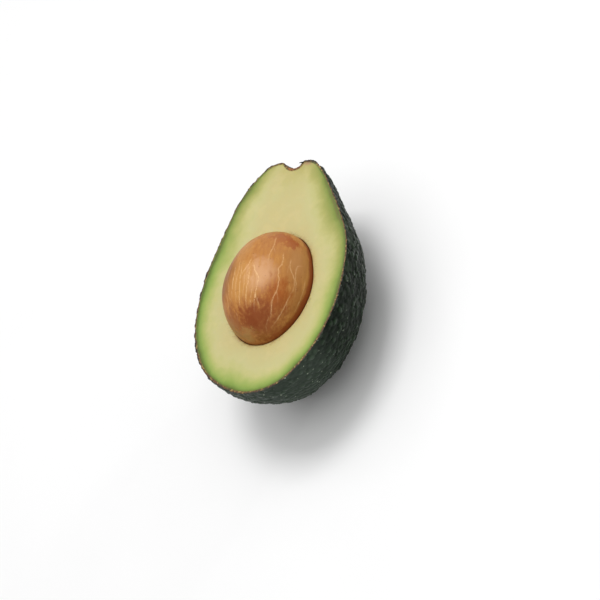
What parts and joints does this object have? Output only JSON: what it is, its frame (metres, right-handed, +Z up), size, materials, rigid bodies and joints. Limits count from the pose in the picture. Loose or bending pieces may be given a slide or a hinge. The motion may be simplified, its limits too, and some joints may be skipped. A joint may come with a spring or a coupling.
{
  "type": "avocado half",
  "caption": "Half an avocado with its seed, lying on its back with the level cut face up, in a pebbled dark skin.",
  "frame": {"origin": "on the ground plane, under the middle of the whole half's box", "axes": "+Z up out of the cut face, +Y along the fruit towards the stem end, +X across the cut face"},
  "size_m": [0.0706, 0.1056, 0.0539],
  "materials": {
    "skin": "pebbled dark green-black peel, satin",
    "flesh": "smooth moist pale yellow-green flesh, greener towards the skin",
    "seed": "smooth orange-brown seed coat with fine pale veins, soft gloss"
  },
  "bodies": {
    "root": {"skin": "skin", "flesh": "flesh", "seed": "seed"}
  },
  "joints": []
}
